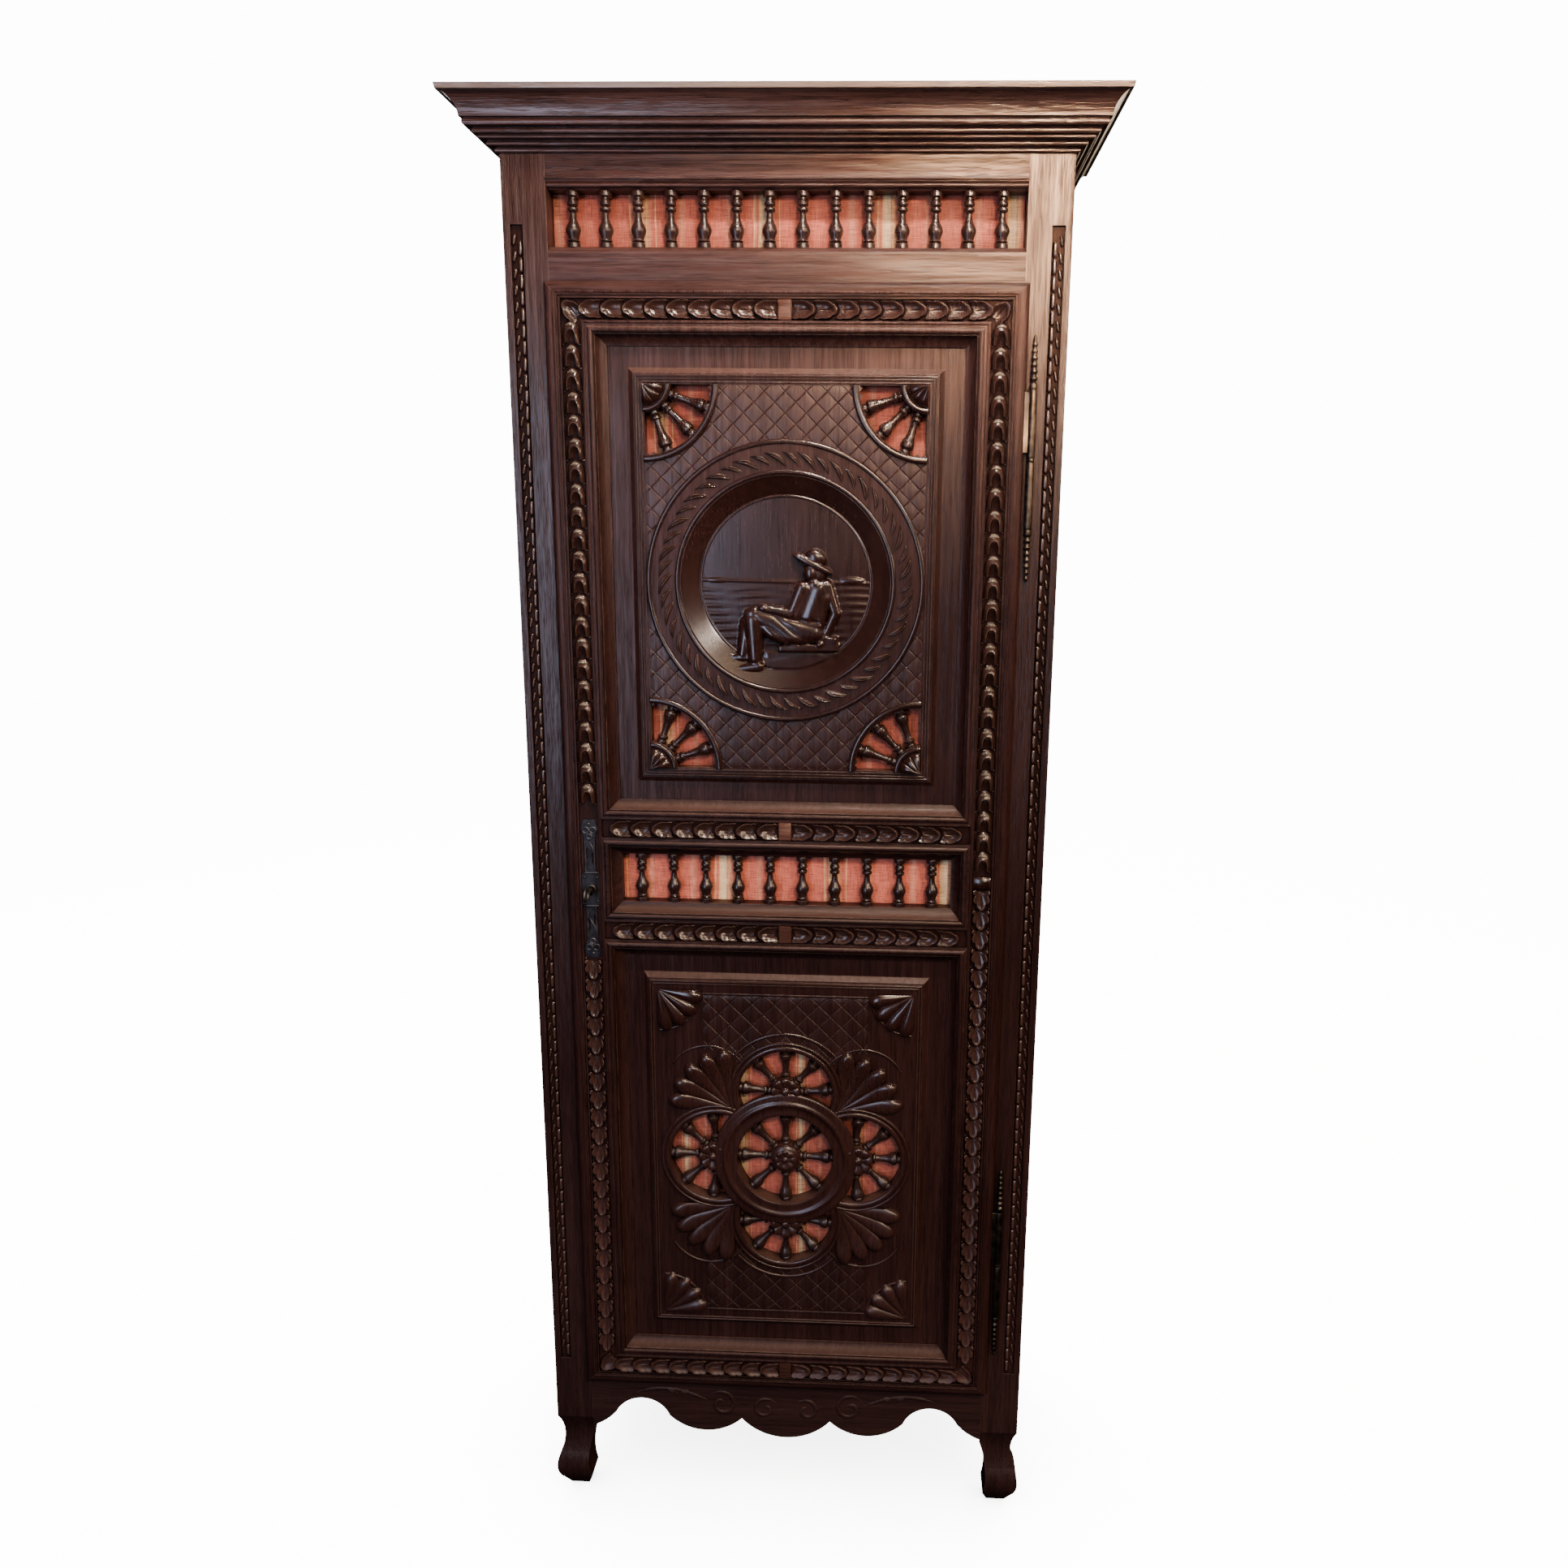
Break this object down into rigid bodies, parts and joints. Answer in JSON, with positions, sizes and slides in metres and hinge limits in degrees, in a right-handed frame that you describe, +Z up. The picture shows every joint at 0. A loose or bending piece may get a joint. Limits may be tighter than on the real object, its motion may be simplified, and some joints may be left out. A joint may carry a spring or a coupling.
{
  "type": "bonnetiere cabinet",
  "caption": "Tall narrow Breton-style cabinet with a full-height lipped door of pierced, carved panels backed by cloth, spindle galleries, a stepped cornice and shelves inside.",
  "frame": {"origin": "centre of the bounding box's bottom face, on the floor under the feet", "axes": "+X to the right seen from the front, +Y to the back, +Z up; the door faces -Y"},
  "size_m": [0.824, 0.337, 1.9974],
  "materials": {
    "carved_oak": "dark stained, waxed, worn at the edges",
    "inner_oak": "plain, unpolished",
    "striped_cloth": "woven stripe, matt",
    "dark_iron": "dark, slightly polished by use",
    "steel": "dull, worn"
  },
  "bodies": {
    "carcass": {"apron": "carved_oak", "back_boards": "inner_oak", "back_rails": "inner_oak", "cornice_front": "carved_oak", "cornice_left_return": "carved_oak", "cornice_right_return": "carved_oak", "floor_board": "inner_oak", "frieze_bottom_rail": "carved_oak", "frieze_cloth": "striped_cloth", "frieze_spindles": "carved_oak", "frieze_top_rail": "carved_oak", "keeper_plate": "dark_iron", "left_front_stile": "carved_oak", "left_rear_post": "carved_oak", "left_shelf_battens": "inner_oak", "left_side_bottom_rail": "carved_oak", "left_side_lower_panel": "carved_oak", "left_side_middle_rail": "carved_oak", "left_side_top_rail": "carved_oak", "left_side_upper_panel": "carved_oak", "lower_hinge_frame_half": "dark_iron", "right_front_stile": "carved_oak", "right_rear_post": "carved_oak", "right_shelf_battens": "inner_oak", "right_side_bottom_rail": "carved_oak", "right_side_lower_panel": "carved_oak", "right_side_middle_rail": "carved_oak", "right_side_top_rail": "carved_oak", "right_side_upper_panel": "carved_oak", "shelf_1": "inner_oak", "shelf_2": "inner_oak", "shelf_3": "inner_oak", "top_board": "inner_oak", "upper_hinge_frame_half": "dark_iron"},
    "door": {"door_lock_stile": "carved_oak", "door_hinge_stile": "carved_oak", "door_bottom_rail": "carved_oak", "door_top_rail": "carved_oak", "door_lower_belt_rail": "carved_oak", "door_upper_belt_rail": "carved_oak", "lower_panel_moulding": "carved_oak", "gallery_moulding": "carved_oak", "upper_panel_moulding": "carved_oak", "lower_panel": "carved_oak", "upper_panel": "carved_oak", "wheel_hub": "carved_oak", "wheel_spindles": "carved_oak", "corner_spindles": "carved_oak", "gallery_spindles": "carved_oak", "lower_panel_cloth": "striped_cloth", "upper_panel_cloth": "striped_cloth", "gallery_cloth": "striped_cloth", "lower_hinge_door_half": "dark_iron", "upper_hinge_door_half": "dark_iron", "escutcheon": "dark_iron", "lock_case": "dark_iron"},
    "lock_bolt": {"lock_bolt": "steel"},
    "key": {"key": "steel"}
  },
  "joints": [
    {"name": "door_swing", "type": "hinge", "parent": "carcass", "child": "door", "pos_m": [0.314, -0.117, 1], "axis": [0, 0, 1], "range_deg": [0, 160]},
    {"name": "key_turn", "type": "hinge", "parent": "door", "child": "key", "pos_m": [-0.271, -0.1115, 0.99007], "axis": [0, -1, 0], "range_deg": [0, 360]},
    {"name": "bolt_slide", "type": "slide", "parent": "door", "child": "lock_bolt", "axis": [-1, 0, 0], "range_m": [0, 0.012]}
  ],
  "couplings": [
    {"joint": "bolt_slide", "follows": "key_turn", "m_per_rad": 0.0019099}
  ]
}
